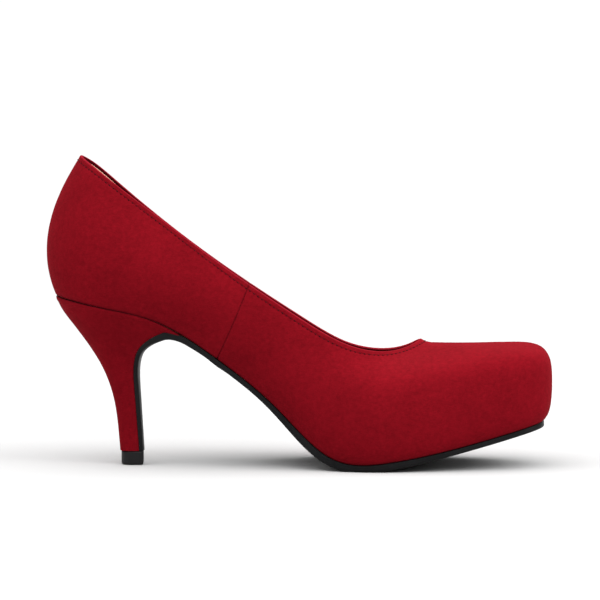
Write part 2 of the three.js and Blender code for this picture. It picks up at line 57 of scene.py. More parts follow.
# Stations from heel to toe. Feather edge: x, medial y, lateral y, z. Topline: x, medial y, lateral y,
# medial z, lateral z. Then the insole's height over the feather edge, the wall's swell, the share of
# the boxed toe shape, and the height of that shape's corner.
STATIONS = [
    [(4.5, 0, 0, 76.8), (15.2, 0, 0, 139.4, 139.4), 2.4, 8.9, 0, 1],
    [(11, -17, 17, 75.6), (21.8, -13, 13, 135.2, 135.4), 2.4, 8.1, 0, 1],
    [(28, -24.3, 24.3, 72), (38, -20, 20, 122.2, 121.4), 2.4, 6.6, 0, 1],
    [(52, -23.5, 24.3, 65.3), (64, -23.3, 23.3, 102.4, 100.2), 2.4, 5.6, 0, 1],
    [(77.3, -20.5, 23.6, 49.2), (91.8, -25, 25, 83.1, 80.2), 2.6, 5.2, 0, 1],
    [(103, -23, 28.5, 28.3), (114.5, -26.6, 27, 68.1, 65.2), 7, 5.6, 0.08, 0.9],
    [(127, -32, 36, 6.4), (134.5, -26, 27, 56.8, 53.8), 16, 7.4, 0.34, 0.86],
    [(152, -38, 38.2, 3.6), (151, -21.6, 22, 52.9, 50.7), 16.6, 8.2, 0.62, 0.83],
    [(180, -35.6, 34.2, 8.9), (161.5, -14.6, 14, 54, 52.6), 15.6, 8, 0.86, 0.82],
    [(204, -30.6, 28, 15.1), (167, -8.8, 7.2, 56, 55.4), 14.4, 8, 0.97, 0.87],
    [(217.5, -25.4, 20.6, 18.9), (168.9, -5.2, 3, 56.8, 56.6), 13.6, 8, 1, 0.93],
    [(223.8, -16.6, 11.4, 20.7), (169.4, -3.3, 0.6, 56.9, 56.9), 13.3, 8, 1, 0.975],
    [(225, -2.6, -2.6, 21.2), (169.5, -1.6, -1.6, 57, 57), 13.2, 8, 1, 0.99],
]
TOE = len(STATIONS) - 1
ROUND = 2 * TOE
SKEW = 0.3  # how much lower than halfway the leaning wall bows out most
LEANING_AT = (0.1, 0.27, 0.47, 0.66, 0.84)  # how far up the leaning wall its guiding points are
RIM_RISE = 1.5  # the vamp's turned edge stands up round the throat
RIM_REACH = 5.5
TOE_FULL = 2.0  # how much fuller the toe's top corner is than the vamp's

# Rings of the heel, seat to tip: back x and z, breast x and z, half width.
HEEL_RINGS = np.array([
    (4.7, 76, 56.5, 62.4, 24.2),
    (7, 70.4, 50.3, 60.3, 21.4),
    (12, 64.2, 44.9, 56.8, 17.8),
    (16.7, 58, 41.5, 53, 14.4),
    (21.5, 51.2, 39.9, 48, 11.4),
    (26, 43.6, 39.4, 42.2, 9),
    (29.4, 35, 39.9, 34.8, 7.2),
    (31.6, 26, 40.6, 26, 6),
    (33, 16, 41.3, 16, 5.3),
    (33.9, 6.3, 42, 6.3, 4.9),
])
HEEL_FRONT = 3.25  # t of the heel's breast corners
SEAT_HALF = 24.3

UPPER = 0.9  # thickness of the faux suede on its backing
FOLD = 0.75  # radius of the edge turned in over its tape
PROUD = 0.55  # how far the rounded edge stands over the topline
QUARTER_RISE = 1.3  # more of that along the medial quarter, which is the higher one
QUARTER_RISE_AT = 2.55  # the t where that is most
QUARTER_RISE_REACH = 0.9
BACK_RISE = 0.45  # and more at the back
BACK_RISE_REACH = 0.5
TURNED = 4.0  # how far the turned edge goes down inside
TURNED_END = 5.5  # how far down its step has faded out
LASTED = 2.2  # how far the upper's edge is turned in under the insole
SIDE_SEAM = 4.0  # t of the seam between vamp and quarter
STITCH_LINE = 2.6  # distance of the topline stitching from the edge
INNER_STITCH_LINE = 3.15  # the same, where the stitches come out over the lining
STITCH_PITCH = 2.2

LINING = (2.4, 3.0)  # depth of the lining's two faces
LINING_EDGE = 1.45  # distance of its raw edge from the topline
LINING_TOP = 0.62  # how deep its inner face starts under the turned edge
LAYER_GAP = 0.05  # space between it and the turned edge
LINING_SEAM = 4.5  # t of its seam between vamp and quarter
GRIP_SEAM = 1.67  # t of its seam between quarter and heel grip
BOARD = 2.0  # thickness of the insole board
FOAM = 2.0  # thickness of the sock's foam
SOCK = 0.8  # thickness of the sock's lining
SOCK_INSET = 3.5

COVER = 0.7  # thickness of the heel's cloth
COVER_LENGTH = 78  # its length, roughly, from seat to tip
COVER_BEDDED = 0.05  # how far its inner face goes into the heel block
LIP = 0.55  # radius of the rounded lip at the top of the heel
SEAT_GAP = 0.6  # the heel's cloth closes the CAD's gap under the upper
TOP_PIECE = {"height": 6.0, "back": 34.2, "front": 43.9, "half": 4.9}
TOP_PIECE_REACH = 0.35  # how far its back goes past the CAD's, level with the heel's cloth

# The CAD frame has its origin under the shoe's middle. Three of its nodes give the shift to it.
SHIFT = np.array([
    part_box("top_piece")[1].x * 1000 - TOP_PIECE["front"],
    (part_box("heel_tube")[0].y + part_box("heel_tube")[1].y) * 500,
    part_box("outsole")[0].z * 1000,
])

# ------------------------------------------------------------ curves and surfaces

STEP = 0.02  # in t, for slopes round the shoe
# The levels w that distances down the wall are measured at. The last two are over the topline.
LEVELS = np.append(np.linspace(0, 1, 241), [1.02, 1.04])
TOP_LEVEL = 240  # the index of w = 1


def unit(vectors):
    return vectors / np.linalg.norm(vectors, axis=-1, keepdims=True)


def smooth(value, low, high):
    """0 below low, 1 above high and a soft step between them."""
    share = np.clip((value - low) / (high - low), 0, 1)
    return share * share * (3 - 2 * share)


def bump(distance, width):
    """1 at no distance and nearly 0 at twice the width, on both sides."""
    return np.exp(-((distance / width) ** 2))


def fade(distance, reach):
    """1 at no distance and about a third at the reach."""
    return np.exp(-distance / reach)


def rounded(distance, radius):
    """How far a face has fallen back at a distance from its rounded edge."""
    inside = np.maximum(radius - distance, 0)
    return radius - np.sqrt(np.maximum(radius**2 - inside**2, 0))


def level_out(run):
    """The level direction out of the shoe, square to a run round it."""
    return unit(np.stack([run[..., 1], -run[..., 0], 0 * run[..., 0]], axis=-1))


def basis(f):
    """The four weights of an even cubic B-spline, at a share f of its span."""
    return (
        (1 - f) ** 3 / 6,
        (3 * f**3 - 6 * f**2 + 4) / 6,
        (-3 * f**3 + 3 * f**2 + 3 * f + 1) / 6,
        f**3 / 6,
    )


def round_shoe(values):
    """A smooth closed curve round the shoe, through one row of values a station."""
    values = np.array(values, float)
    eye = np.eye(len(values))
    control = np.linalg.solve((4 * eye + np.roll(eye, 1, 0) + np.roll(eye, -1, 0)) / 6, values)

    def curve(t):
        first = np.floor(t).astype(int)
        weights = basis(t - first)
        return sum(w[..., None] * control[(first + k - 1) % len(values)] for k, w in enumerate(weights))

    return curve


def station_curve(pick):
    """A curve through what pick takes from each station, for side 0 (medial) and 1 (lateral)."""
    medial = [pick(s, 0) for s in STATIONS]
    lateral = [pick(s, 1) for s in STATIONS[1:-1]]
    return round_shoe(medial + lateral[::-1])


feather = station_curve(lambda s, side: (s[0][0], s[0][1 + side], s[0][3]))
topline = station_curve(lambda s, side: (s[1][0], s[1][1 + side], s[1][3 + side]))
form = station_curve(lambda s, side: s[2:])


def along_cage(cage, share):
    """Points on open cubic splines that the cage's last but one axis guides, from first to last."""
    spans = cage.shape[-2] - 1
    before = 2 * cage[..., :1, :] - cage[..., 1:2, :]
    after = 2 * cage[..., -1:, :] - cage[..., -2:-1, :]
    cage = np.concatenate([before, cage, after], axis=-2)
    cage = np.broadcast_to(cage, (*share.shape, *cage.shape[-2:]))
    first = np.minimum((share * spans).astype(int), spans - 1)
    weights = basis(share * spans - first)
    near = [np.take_along_axis(cage, (first + k)[..., None, None], axis=-2)[..., 0, :] for k in range(4)]
    return sum(w[..., None] * point for w, point in zip(weights, near))


def outward(t):
    """The level direction out of the shoe at the feather edge."""
    return level_out(feather(t + STEP) - feather(t - STEP))


def wall_cage(t):
    """The cage that guides the wall, and how far the turned edge stands up. The wall leans at the
    back, is boxed at the toe, and is a mixture of the two between them."""
    foot, top, out = feather(t), topline(t), outward(t)
    _, swell, box, corner = np.moveaxis(form(t), -1, 0)
    box = np.clip(box, 0, 1)
    rise = RIM_RISE * box
    top[..., 2] -= rise
    height = top[..., 2] - foot[..., 2]
    drop = (1 - corner) * height

    def leaning(a):
        bow = 4 * a * (1 - a) * (1 + SKEW * (0.5 - a)) * swell
        return foot + (top - foot) * a + out * bow[..., None]

    def upright(reach, share):
        point = foot + out * np.asarray(reach)[..., None]
        point[..., 2] = foot[..., 2] + share * height
        return point

    def roof(share, sink):
        point = top + (foot - top) * share
        point[..., 2] = top[..., 2] - sink
        return point

    # Two points up the platform's side, its top corner, and two points over the roof.
    boxed = [
        upright(3.1, 0.1),
        upright(3.9, 0.46),
        upright(1.4 + TOE_FULL * smooth(box, 0.9, 1), corner),
        roof(0.74, 0.42 * drop + 0.1),
        roof(0.36, 0.8 + 0.12 * drop),
    ]
    share = box[..., None]
    mixed = [leaning(a) * (1 - share) + b * share for a, b in zip(LEANING_AT, boxed)]
    return np.stack([foot, *mixed, top], axis=-2), rise


def wall(t, w):
    """The outer face of the upper. Above w = 1 it goes straight on."""
    t, w = np.broadcast_arrays(t, w)
    if np.any(w > 1):
        edge = wall(t, np.minimum(w, 1))
        last_rise = wall(t, np.ones_like(w)) - wall(t, np.full_like(w, 0.98))
        return edge + last_rise * np.maximum(w - 1, 0)[..., None] / 0.02
    cage, rise = wall_cage(t)
    point = along_cage(cage, w)
    to_edge = np.linalg.norm(point - cage[..., -1, :], axis=-1) / RIM_REACH
    point[..., 2] += rise * np.maximum(0, 1 - to_edge) ** 2
    return point


def wall_inward(t, w):
    """The direction into the shoe, square to the wall."""
    step = 0.01
    around = wall(t + step, w) - wall(t - step, w)
    up = wall(t, np.clip(w + step, 0, 1)) - wall(t, np.clip(w - step, 0, 0.98))
    return -unit(np.cross(around, up))


def wall_at(t, w, depth):
    """The wall's point at a depth under its outer face."""
    t, w, depth = np.broadcast_arrays(t, w, depth)
    return wall(t, w) + wall_inward(t, w) * depth[..., None]


def below_topline(t):
    """For each t, the distance of every level from the proud edge, measured down the wall."""
    line = wall(t[:, None], LEVELS[None, :])
    steps = np.linalg.norm(np.diff(line, axis=1), axis=2)
    up = np.concatenate([np.zeros((len(t), 1)), np.cumsum(steps, axis=1)], axis=1)
    from_back = np.minimum(t % ROUND, -t % ROUND)
    proud = PROUD + QUARTER_RISE * bump(t - QUARTER_RISE_AT, QUARTER_RISE_REACH)
    proud = proud + BACK_RISE * bump(from_back, BACK_RISE_REACH)
    return up[:, TOP_LEVEL, None] + proud[:, None] - up


def level_at(below, drops):
    """The w that lies each drop below the topline, for each row of below_topline()."""
    return np.array([np.interp(drop, row[::-1], LEVELS[::-1]) for row, drop in zip(below, drops)])


def bed_level(t, lift):
    """The w at which the wall is some way over the insole board's underside."""
    target = feather(t)[..., 2] + form(t)[..., 0] + lift
    low, high = np.zeros_like(t), np.full_like(t, 0.6)
    for _ in range(24):
        middle = (low + high) / 2
        under = wall(t, middle)[..., 2] < target
        low, high = np.where(under, middle, low), np.where(under, high, middle)
    return high


def heel_point(t, share):
    """The heel's outer face: t from breast corner round the back to breast corner, share down it."""
    t, share = np.broadcast_arrays(t, share)
    back_x, back_z = np.moveaxis(along_cage(HEEL_RINGS[:, :2], share), -1, 0)
    breast_x, breast_z, half = np.moveaxis(along_cage(HEEL_RINGS[:, 2:], share), -1, 0)
    foot, rear, breast = feather(t), feather(np.zeros(1))[0], feather(np.array([HEEL_FRONT]))[0]
    forward = (foot[..., 0] - rear[0]) / (breast[0] - rear[0])
    # The seat follows the feather edge's curve, which fades out over the heel's first third.
    chord = rear[2] + (breast[2] - rear[2]) * forward
    crown = (foot[..., 2] - chord) * np.maximum(0, 1 - 3 * share)
    return np.stack([
        back_x + (breast_x - back_x) * forward,
        half * foot[..., 1] / SEAT_HALF,
        back_z + (breast_z - back_z) * forward + crown,
    ], axis=-1)


def heel_at(t, share, depth):
    """The heel's point at a level depth under its outer face."""
    out = level_out(heel_point(t + STEP, share) - heel_point(t - STEP, share))
    return heel_point(t, share) - out * np.broadcast_to(depth, out.shape[:-1])[..., None]


def pace(surface, t, level):
    """The millimetres that a surface covers for each 1 of t."""
    return np.linalg.norm(surface(t + STEP, level) - surface(t - STEP, level), axis=-1) / (2 * STEP)


# ------------------------------------------------------------ meshes


def there_and_back(front, back):
    """Rings that go along one face and come back along the other."""
    return np.concatenate([front, back[:, ::-1]], axis=1)


def loft_faces(count, size):
    """Quads over a number of rings. Each ring's first half faces its reversed second half, so that
    quads close the two ends as well."""
    index = np.arange(count * size).reshape(count, size)
    near, far = index[:-1], index[1:]
    sides = np.stack([near, np.roll(near, -1, 1), np.roll(far, -1, 1), far], -1).reshape(-1, 4)
    i = np.arange(size // 2 - 1)
    cap = np.stack([size - 1 - i, size - 2 - i, i + 1, i], -1)
    return np.concatenate([sides, cap, cap[:, ::-1] + index[-1, 0]])


def add_piece(name, points, faces, material, slot, nodes=(), marks=None, sharp=60):
    """A closed mesh with its faces pointing out, riding on the shoe and standing for CAD nodes.
    Its marks are values for its shader, one a point."""
    mesh = bpy.data.meshes.new(name)
    mesh.from_pydata(((points.reshape(-1, 3) + SHIFT) / 1000).tolist(), [], faces.tolist())
    for mark, values in (marks or {}).items():
        attribute = mesh.attributes.new(mark, "FLOAT", "POINT")
        attribute.data.foreach_set("value", values.astype(np.float32).ravel())
    body = bmesh.new()
    body.from_mesh(mesh)
    bmesh.ops.remove_doubles(body, verts=body.verts, dist=2e-6)
    bmesh.ops.dissolve_degenerate(body, edges=body.edges, dist=1e-6)
    bmesh.ops.recalc_face_normals(body, faces=body.faces)
    if body.calc_volume(signed=True) < 0:
        bmesh.ops.reverse_faces(body, faces=body.faces)
    body.to_mesh(mesh)
    body.free()
    mesh.shade_smooth()
    mesh.set_sharp_from_angle(angle=math.radians(sharp))
    mesh.materials.append(material)
    piece = bpy.data.objects.new(name, mesh)
    bpy.context.scene.collection.objects.link(piece)
    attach(piece, "root")
    if nodes:
        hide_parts(*nodes)
    return piece


def add_layer(name, t, w, outer, inner, material, slot, nodes, marks):
    """A layer of the upper. Each column t goes up its outer face and down its inner one. A mark is
    a pair of values, for the outer and the inner face."""
    rings = there_and_back(wall_at(t[:, None], w, outer), wall_at(t[:, None], w, inner))
    both = {mark: there_and_back(*pair) for mark, pair in marks.items()}
    add_piece(name, rings, loft_faces(*rings.shape[:2]), material, slot, nodes, marks=both)


# ------------------------------------------------------------ materials


def colour(text):
    """A colour written as sRGB hex, as the linear colour that a shader takes."""
    parts = [int(text[i:i + 2], 16) / 255 for i in (0, 2, 4)]
    return (*[p / 12.92 if p <= 0.04045 else ((p + 0.055) / 1.055) ** 2.4 for p in parts], 1)


def add(tree, kind, sockets=None, **settings):
    """Adds a node. A socket takes a value, or another node's output written (node, output)."""
    node = tree.nodes.new(kind)
    for name, value in settings.items():
        setattr(node, name, value)
    for socket, value in (sockets or {}).items():
        if isinstance(value, tuple) and isinstance(value[0], bpy.types.Node):
            tree.links.new(value[0].outputs[value[1]], node.inputs[socket])
        else:
            node.inputs[socket].default_value = value
    return node


def start_material(name):
    """An empty material, its tree, and the place on a piece in millimetres."""
    material = bpy.data.materials.new(name)
    material.use_nodes = True
    tree = material.node_tree
    tree.nodes.clear()
    place = add(tree, "ShaderNodeTexCoord")
    size = add(tree, "ShaderNodeMapping", {"Vector": (place, "Object"), "Scale": (1000, 1000, 1000)})
    return material, tree, (size, "Vector")


def end_material(tree, **sockets):
    """The shader itself. A name's underscores stand for the spaces in its socket's name."""
    shader = add(tree, "ShaderNodeBsdfPrincipled", {k.replace("_", " "): v for k, v in sockets.items()})
    add(tree, "ShaderNodeOutputMaterial", {"Surface": (shader, "BSDF")})


def make_faux_suede():
    """Faux suede: polyester cloth with its fibres brushed up and sheared. It is matt, a little cloudy
    where the nap lies differently, and pale only along its rims, where the fibre ends catch light."""
    material, tree, place = start_material("faux_suede")
    # Patches of laid nap are 10 to 30 mm wide, tufts about 2 mm.
    cloud = add(tree, "ShaderNodeTexNoise", {
        "Vector": place, "Scale": 0.045, "Detail": 2.0, "Roughness": 0.5,
    })
    tuft = add(tree, "ShaderNodeTexNoise", {
        "Vector": place, "Scale": 0.5, "Detail": 3.0, "Roughness": 0.6,
    })
    # The cloth's diagonal rib is about 0.3 mm wide. It is drawn at 0.9 mm, which is as fine as shows.
    turned = add(tree, "ShaderNodeMapping", {
        "Vector": place, "Rotation": (0, 0.6, 0), "Scale": (0.45, 0.8, 1.1),
    })
    rib = add(tree, "ShaderNodeTexNoise", {
        "Vector": (turned, "Vector"), "Scale": 1.5, "Detail": 3.0, "Roughness": 0.65,
    })
    # The three patterns' shares in the tone: rib 0.4, tuft 0.4 and cloud 0.24.
    ribbed = add(tree, "ShaderNodeMath", {0: (rib, "Fac"), 1: 0.4, 2: -0.02}, operation="MULTIPLY_ADD")
    tufted = add(tree, "ShaderNodeMath", {
        0: (tuft, "Fac"), 1: 0.4, 2: (ribbed, 0),
    }, operation="MULTIPLY_ADD")
    clouded = add(tree, "ShaderNodeMath", {
        0: (cloud, "Fac"), 1: 0.24, 2: (tufted, 0),
    }, operation="MULTIPLY_ADD")
    tone = add(tree, "ShaderNodeMapRange", {"Value": (clouded, 0), "From Min": 0.36, "From Max": 0.64})
    cloth = add(tree, "ShaderNodeMix", {
        0: (tone, 0), 6: colour("660610"), 7: colour("7D0B17"),
    }, data_type="RGBA")
    # Painted highlight: the turned edge is painted paler, where its rim catches the light.
    drop = add(tree, "ShaderNodeAttribute", attribute_name="edge_drop")
    rim_highlight = add(tree, "ShaderNodeMapRange", {
        "Value": (drop, "Fac"), "From Min": 0.9, "From Max": 0.2, "To Max": 0.28,
    })
    rim_highlighted = add(tree, "ShaderNodeMix", {
        0: (rim_highlight, 0), 6: (cloth, 2), 7: colour("A8283A"),
    }, data_type="RGBA")
    # Painted shade: the seams, the gap at the lower edge, the stitch channel and the turned edge's inner side
    # are painted dark.
    crease = add(tree, "ShaderNodeAttribute", attribute_name="crease")
    shaded_cloth = add(tree, "ShaderNodeMix", {
        0: (crease, "Fac"), 6: (rim_highlighted, 2), 7: colour("240206"),
    }, data_type="RGBA")
    fibre = add(tree, "ShaderNodeTexNoise", {
        "Vector": place, "Scale": 2.6, "Detail": 2.0, "Roughness": 0.7,
    })
    height = add(tree, "ShaderNodeMath", {0: (rib, "Fac"), 1: (fibre, "Fac")}, operation="ADD")
    relief = add(tree, "ShaderNodeBump", {"Height": (height, 0), "Strength": 0.35, "Distance": 0.00016})
    end_material(
        tree, Base_Color=(shaded_cloth, 2), Roughness=0.95, IOR=1.45, Specular_IOR_Level=0.05, Sheen_Weight=0.2,
        Sheen_Roughness=0.45, Sheen_Tint=colour("B41224"), Normal=(relief, "Normal"),
    )
    return material


def make_thread(name, dark, light):
    """Twisted polyester thread: smooth plies with a slight gloss, and painted shade where the plies meet."""
    material, tree, place = start_material(name)
    # A ply crosses the thread every 0.35 mm.
    ply = add(tree, "ShaderNodeTexWave", {
        "Vector": place, "Scale": 0.45, "Distortion": 1.0,
    }, bands_direction="DIAGONAL")
    shade = add(tree, "ShaderNodeMix", {
        0: (ply, "Fac"), 6: colour(dark), 7: colour(light),
    }, data_type="RGBA")
    relief = add(tree, "ShaderNodeBump", {"Height": (ply, "Fac"), "Strength": 0.5, "Distance": 0.00004})
    end_material(
        tree, Base_Color=(shade, 2), Roughness=0.75, IOR=1.5, Specular_IOR_Level=0.08,
        Normal=(relief, "Normal"),
    )
    return material


def make_coated_lining():
    """Coated lining: knitted cloth with a thin pressed polyurethane skin in pinkish gold. Its skin has
    a fine pebbled grain and a soft gloss."""
    material, tree, place = start_material("coated_lining")
    # The pressed pebbles are about 0.6 mm. They are drawn at 0.9 mm so that they show.
    pebble = add(tree, "ShaderNodeTexVoronoi", {"Vector": place, "Scale": 1.1}, feature="DISTANCE_TO_EDGE")
    cloud = add(tree, "ShaderNodeTexNoise", {"Vector": place, "Scale": 0.08, "Detail": 4.0})
    tone = add(tree, "ShaderNodeMapRange", {"Value": (cloud, "Fac"), "From Min": 0.35, "From Max": 0.65})
    skin = add(tree, "ShaderNodeMix", {
        0: (tone, 0), 6: colour("CB9782"), 7: colour("D29F8A"),
    }, data_type="RGBA")
    # Painted shade in the valleys between the pebbles.
    valley = add(tree, "ShaderNodeMapRange", {
        "Value": (pebble, "Distance"), "From Max": 0.12, "To Min": 0.3, "To Max": 0.0,
    })
    shaded = add(tree, "ShaderNodeMix", {
        0: (valley, 0), 6: (skin, 2), 7: colour("8E5A46"),
    }, data_type="RGBA")
    # Painted shade in the dips of the lining's seams.
    crease = add(tree, "ShaderNodeAttribute", attribute_name="crease")
    worn = add(tree, "ShaderNodeMix", {
        0: (crease, "Fac"), 6: (shaded, 2), 7: colour("6B4234"),
    }, data_type="RGBA")
    gloss = add(tree, "ShaderNodeMapRange", {"Value": (cloud, "Fac"), "To Min": 0.38, "To Max": 0.55})
    relief = add(tree, "ShaderNodeBump", {
        "Height": (pebble, "Distance"), "Strength": 0.25, "Distance": 0.00012,
    })
    end_material(
        tree, Base_Color=(worn, 2), Roughness=(gloss, 0), IOR=1.5, Specular_IOR_Level=0.45,
        Normal=(relief, "Normal"),
    )
    return material


def make_moulded(name, dark, light, roughness, shine, scale, depth):
    """Moulded rubber or plastic: one colour all through, with a fine satin texture from its mould and
    faint scuffs that change its gloss more than its colour."""
    material, tree, place = start_material(name)
    texture = add(tree, "ShaderNodeTexNoise", {
        "Vector": place, "Scale": scale, "Detail": 3.0, "Roughness": 0.6,
    })
    cloud = add(tree, "ShaderNodeTexNoise", {
        "Vector": place, "Scale": 0.12, "Detail": 4.0, "Roughness": 0.6,
    })
    tone = add(tree, "ShaderNodeMapRange", {"Value": (cloud, "Fac"), "From Min": 0.3, "From Max": 0.7})
    body = add(tree, "ShaderNodeMix", {
        0: (tone, 0), 6: colour(dark), 7: colour(light),
    }, data_type="RGBA")
    gloss = add(tree, "ShaderNodeMapRange", {
        "Value": (cloud, "Fac"), "To Min": roughness - 0.08, "To Max": roughness + 0.1,
    })
    relief = add(tree, "ShaderNodeBump", {
        "Height": (texture, "Fac"), "Strength": 0.3, "Distance": depth,
    })
    end_material(
        tree, Base_Color=(body, 2), Roughness=(gloss, 0), IOR=1.5, Specular_IOR_Level=shine,
        Normal=(relief, "Normal"),
    )
    return material


def make_pressed(name, dark, light, scale, roughness):
    """Pressed fibre, sheet, foam or cork: crumbs of two shades, dry and matt, with a rough face."""
    material, tree, place = start_material(name)
    crumb = add(tree, "ShaderNodeTexVoronoi", {"Vector": place, "Scale": scale})
    speck = add(tree, "ShaderNodeTexNoise", {"Vector": place, "Scale": 2 * scale, "Detail": 3.0})
    mixed = add(tree, "ShaderNodeMath", {
        0: (crumb, "Distance"), 1: (speck, "Fac"),
    }, operation="MULTIPLY")
    tone = add(tree, "ShaderNodeMapRange", {"Value": (mixed, 0), "From Min": 0.1, "From Max": 0.4})
    body = add(tree, "ShaderNodeMix", {
        0: (tone, 0), 6: colour(dark), 7: colour(light),
    }, data_type="RGBA")
    relief = add(tree, "ShaderNodeBump", {"Height": (mixed, 0), "Strength": 0.4, "Distance": 0.0002})
    end_material(tree, Base_Color=(body, 2), Roughness=roughness, Normal=(relief, "Normal"))
    return material


def make_drawn_steel():
    """Drawn and cut steel: bright, with fine lines along it that vary its gloss."""
    material, tree, place = start_material("drawn_steel")
    stretched = add(tree, "ShaderNodeMapping", {"Vector": place, "Scale": (4, 4, 0.3)})
    lines = add(tree, "ShaderNodeTexNoise", {
        "Vector": (stretched, "Vector"), "Scale": 1.5, "Detail": 2.0,
    })
    shade = add(tree, "ShaderNodeMix", {
        0: (lines, "Fac"), 6: colour("8B8E92"), 7: colour("B4B6B9"),
    }, data_type="RGBA")
    gloss = add(tree, "ShaderNodeMapRange", {"Value": (lines, "Fac"), "To Min": 0.25, "To Max": 0.45})
    end_material(tree, Base_Color=(shade, 2), Metallic=1.0, Roughness=(gloss, 0))
    return material


def make_studio_floor():
    """Matt white board. It is seen through from underneath."""
    material, tree, place = start_material("studio_floor")
    grain = add(tree, "ShaderNodeTexNoise", {"Vector": place, "Scale": 0.6, "Detail": 2.0})
    shade = add(tree, "ShaderNodeMix", {
        0: (grain, "Fac"), 6: colour("BABABA"), 7: colour("BEBEBE"),
    }, data_type="RGBA")
    board = add(tree, "ShaderNodeBsdfDiffuse", {"Color": (shade, 2), "Roughness": 0.5})
    clear = add(tree, "ShaderNodeBsdfTransparent")
    side = add(tree, "ShaderNodeNewGeometry")
    either = add(tree, "ShaderNodeMixShader", {
        0: (side, "Backfacing"), 1: (board, "BSDF"), 2: (clear, "BSDF"),
    })
    add(tree, "ShaderNodeOutputMaterial", {"Surface": (either, "Shader")})
    return material


suede = make_faux_suede()
red_thread = make_thread("red_thread", "2E0208", "4A0610")
gold_thread = make_thread("gold_thread", "A8735C", "CF9A82")
lining_skin = make_coated_lining()
sole_rubber = make_moulded("sole_rubber", "0C0C0D", "151516", 0.42, 0.14, 3.0, 0.00005)
top_piece_plastic = make_moulded("top_piece_polyurethane", "121213", "19191A", 0.46, 0.25, 4.0, 0.00004)
HIDDEN_FINISHES = {
    "stiffener_sheet": make_pressed("stiffener_sheet", "CFCBC0", "E9E6DD", 1.5, 0.85),
    "insole_fibreboard": make_pressed("insole_fibreboard", "7A5E3C", "B39670", 1.2, 0.9),
    "sock_foam": make_pressed("sock_foam", "D9D3C4", "EFEADD", 2.0, 0.95),
    "platform_cork": make_pressed("platform_cork", "6B4A28", "C79A66", 0.5, 0.9),
    "heel_plastic": make_moulded("heel_polystyrene", "DDD5C2", "EAE3D3", 0.5, 0.4, 1.2, 0.00008),
    "steel": make_drawn_steel(),
}

# ------------------------------------------------------------ outer upper

SEAM_DIP = 0.34  # depth and width of the dip where two panels meet
HEM_DIP = 0.4  # depth of the dip at the lower edge
HEM_WIDTH = 0.35
CHANNEL_DIP = 0.15  # depth of the channel that the topline stitching pulls in
CHANNEL_WIDTH = 0.42
HOLLOW = 0.05  # depth of the faint hollows, some 15 mm apart, that cloth stretched over the last keeps


def columns(start, end):
    """Columns 1.2 mm apart and closer at the panel's two ends."""
    ends = np.array([0, 0.004, 0.009, 0.016, 0.026])
    return np.concatenate([start + ends, np.arange(start + 0.05, end - 0.045, 0.05), end - ends[::-1]])


def rows_down(length, first, last_gaps, count):
    """Rows of drops from the topline down: given ones, evenly spread ones and close ones at the end."""
    start, gaps = first[-1], np.array(last_gaps)
    spread = np.linspace(0, 1, count + 2)[1:-1]
    middle = start + (length[:, None] - gaps[0] - start) * spread
    return np.concatenate([np.tile(first, (len(length), 1)), middle, length[:, None] - gaps], axis=1)


def add_upper_panel(name, start, end, nodes):
    """A panel of the faux suede, from seam to seam and from its turned edge to its lasted one."""
    t = columns(start, end)
    below = below_topline(t)
    length = below[:, 0]
    turn = FOLD * (1 - np.cos(np.linspace(0, math.pi / 2, 9)))
    first = np.concatenate([turn, np.arange(1.0, 3.3, 0.15), [3.6, 4.0, 4.5, 5.2, 6.0]])
    drop = rows_down(length, first, [1.6, 1.1, 0.75, 0.5, 0.32, 0.18, 0.08, 0], 52)[:, ::-1]
    w = level_at(below, drop)
    to_hem = length[:, None] - drop
    to_seam = np.minimum(t - start, end - t)[:, None] * pace(wall, t[:, None], w)
    seam = SEAM_DIP * fade(to_seam, SEAM_DIP)
    hem = HEM_DIP * fade(to_hem, HEM_WIDTH)
    # The stitching pulls in a channel, and the edge puffs up a little over it.
    channel = CHANNEL_DIP * bump(drop - STITCH_LINE, CHANNEL_WIDTH) - 0.05 * bump(drop - 0.9, 0.4)
    sway = np.sin(5.1 * t[:, None] + 0.31 * drop)
    ripple = np.sin(0.21 * drop + 3.3 * np.cos(1.7 * t[:, None]))
    hollows = HOLLOW * sway * ripple * smooth(drop, 4, 12) * smooth(to_hem, 2, 9)
    edge = rounded(drop, FOLD)
    outer = edge + seam + hem + channel + hollows
    inner = UPPER + (2 * FOLD - UPPER) * (1 - smooth(drop, TURNED, TURNED_END)) - edge
    # The lasted edge is turned in under the insole board, which the hem's extra depth stands for.
    inner = inner + LASTED * smooth(drop, length[:, None] - 2.0, length[:, None])
    # Painted shade in the dips of the seams, along the gap at the lower edge and in the stitch channel.
    pressed = np.clip(seam / 0.5 + 1.2 * fade(to_hem, 0.75), 0, 1) ** 1.5
    pressed = np.maximum(pressed, 0.3 * bump(drop - STITCH_LINE, 0.35))
    # The turned edge's inner side gets no painted highlight, and gets painted shade, as it lies in the shade
    # inside the shoe.
    marks = {
        "edge_drop": (drop, drop + 3 * smooth(drop, 0.1, 0.5)),
        "crease": (pressed, 0.8 * smooth(drop, 0, 0.4)),
    }
    add_layer(name, t, w, outer, inner, suede, "upper_faux_suede", nodes, marks)


add_upper_panel("upper_vamp", SIDE_SEAM, ROUND - SIDE_SEAM, ["vamp", "topline_tape"])
add_upper_panel("upper_quarter_medial", 0, SIDE_SEAM, ["quarter_medial"])
add_upper_panel("upper_quarter_lateral", ROUND - SIDE_SEAM, ROUND, ["quarter_lateral"])

# ------------------------------------------------------------ lining

LINING_ROWS = LINING_EDGE + np.array([0, 0.06, 0.16, 0.3, 0.5, 0.8, 1.2, 1.7, 2.4, 3.3, 4.5, 6.0])
LINING_SEAM_DIP = 0.4  # depth and width of the dip where two linings meet


